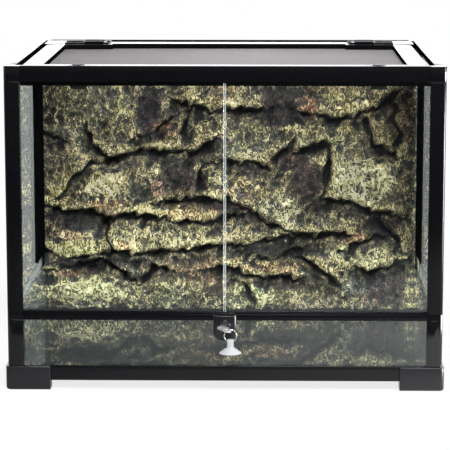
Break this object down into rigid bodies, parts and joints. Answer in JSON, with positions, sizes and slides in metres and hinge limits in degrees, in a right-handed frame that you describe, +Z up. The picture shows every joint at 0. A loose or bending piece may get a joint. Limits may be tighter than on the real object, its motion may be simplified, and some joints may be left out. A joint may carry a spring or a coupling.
{
  "type": "reptile terrarium",
  "caption": "Front-opening glass terrarium with hinged doors, lift-off mesh lid, sliding cable inlets, keyed door lock and moulded rock background.",
  "frame": {"origin": "on the ground under the middle of the whole object's box, key included", "axes": "+X to the right along the width, +Y to the rear (the doors face -Y), +Z up"},
  "size_m": [0.61, 0.5042, 0.4575],
  "materials": {
    "frame_plastic": "glossy moulded black",
    "lid_plastic": "satin moulded black",
    "satin_plastic": "satin black",
    "clear_glass": "polished float glass",
    "dark_glass": "polished float glass with a dark underside",
    "dark_metal": "blackened",
    "pin_steel": "drawn steel",
    "mesh_wire": "woven wire",
    "painted_foam": "painted rigid foam, rough",
    "lock_plastic": "satin moulded black",
    "key_metal": "nickel plated",
    "ring_wire": "nickel plated",
    "clear_rubber": "clear soft vinyl"
  },
  "bodies": {
    "cabinet": {"foot_front_left": "frame_plastic", "foot_front_right": "frame_plastic", "foot_rear_left": "frame_plastic", "foot_rear_right": "frame_plastic", "base_rail_front": "frame_plastic", "base_rail_rear": "frame_plastic", "base_rail_left": "frame_plastic", "base_rail_right": "frame_plastic", "lower_post_left": "frame_plastic", "lower_post_right": "frame_plastic", "rear_post_left": "frame_plastic", "rear_post_right": "frame_plastic", "mid_rail": "frame_plastic", "top_corner_front_left": "frame_plastic", "top_corner_front_right": "frame_plastic", "top_corner_rear_left": "frame_plastic", "top_corner_rear_right": "frame_plastic", "top_rail_front": "frame_plastic", "top_rail_rear": "frame_plastic", "top_rail_left": "frame_plastic", "top_rail_right": "frame_plastic", "floor_glass": "dark_glass", "back_glass": "clear_glass", "side_glass_left": "clear_glass", "side_glass_right": "clear_glass", "lower_front_glass": "clear_glass", "tray_side_left": "clear_glass", "tray_side_right": "clear_glass", "door_jamb_left": "satin_plastic", "door_jamb_right": "satin_plastic", "hinge_pins_left": "pin_steel", "hinge_pins_right": "pin_steel", "rock_background": "painted_foam", "inlet_housing_left": "lid_plastic", "inlet_housing_right": "lid_plastic", "lock_body": "lock_plastic", "lock_back_plate": "lock_plastic"},
    "door_left": {"door_glass_left": "clear_glass", "door_stile_left": "frame_plastic"},
    "door_right": {"door_glass_right": "clear_glass", "door_stile_right": "frame_plastic"},
    "lid": {"lid_frame": "lid_plastic", "lid_mesh": "mesh_wire"},
    "clip_left": {"lid_clip_left": "satin_plastic"},
    "clip_right": {"lid_clip_right": "satin_plastic"},
    "shutter_left": {"inlet_shutter_left": "satin_plastic"},
    "shutter_right": {"inlet_shutter_right": "satin_plastic"},
    "barrel": {"lock_barrel": "dark_metal"},
    "tongue": {"lock_tongue": "lock_plastic"},
    "key": {"key": "key_metal"},
    "ring": {"key_ring": "ring_wire"},
    "cup": {"suction_cup": "clear_rubber"}
  },
  "joints": [
    {"name": "door_left_hinge", "type": "hinge", "parent": "cabinet", "child": "door_left", "pos_m": [-0.291, -0.19085, 0.25], "axis": [0, 0, -1], "range_deg": [0, 110]},
    {"name": "door_right_hinge", "type": "hinge", "parent": "cabinet", "child": "door_right", "pos_m": [0.291, -0.19085, 0.25], "axis": [0, 0, 1], "range_deg": [0, 110]},
    {"name": "lid_lift", "type": "slide", "parent": "cabinet", "child": "lid", "axis": [0, 0, 1], "range_m": [0, 0.15]},
    {"name": "clip_left_slide", "type": "slide", "parent": "cabinet", "child": "clip_left", "axis": [-1, 0, 0], "range_m": [0, 0.0096]},
    {"name": "clip_right_slide", "type": "slide", "parent": "cabinet", "child": "clip_right", "axis": [-1, 0, 0], "range_m": [0, 0.0096]},
    {"name": "shutter_left_slide", "type": "slide", "parent": "cabinet", "child": "shutter_left", "axis": [-1, 0, 0], "range_m": [0, 0.028]},
    {"name": "shutter_right_slide", "type": "slide", "parent": "cabinet", "child": "shutter_right", "axis": [1, 0, 0], "range_m": [0, 0.028]},
    {"name": "key_turn", "type": "hinge", "parent": "cabinet", "child": "barrel", "pos_m": [0, -0.21, 0.094], "axis": [0, 1, 0], "range_deg": [0, 90]},
    {"name": "tongue_lift", "type": "slide", "parent": "cabinet", "child": "tongue", "axis": [0, 0, 1], "range_m": [0, 0.0071]},
    {"name": "key_pull", "type": "slide", "parent": "barrel", "child": "key", "axis": [0, -1, 0], "range_m": [0, 0.02]},
    {"name": "ring_turn", "type": "hinge", "parent": "key", "child": "ring", "pos_m": [0.00836, -0.23685, 0.0916], "axis": [0, 1, 0], "range_deg": [-91, 0]},
    {"name": "cup_swing", "type": "hinge", "parent": "ring", "child": "cup", "pos_m": [0.00836, -0.23685, 0.0768], "axis": [1, 0, 0], "range_deg": [-20, 12]}
  ],
  "couplings": [
    {"joint": "tongue_lift", "follows": "key_turn", "m_per_rad": 0.0044563},
    {"joint": "ring_turn", "follows": "key_turn", "ratio": -1}
  ]
}
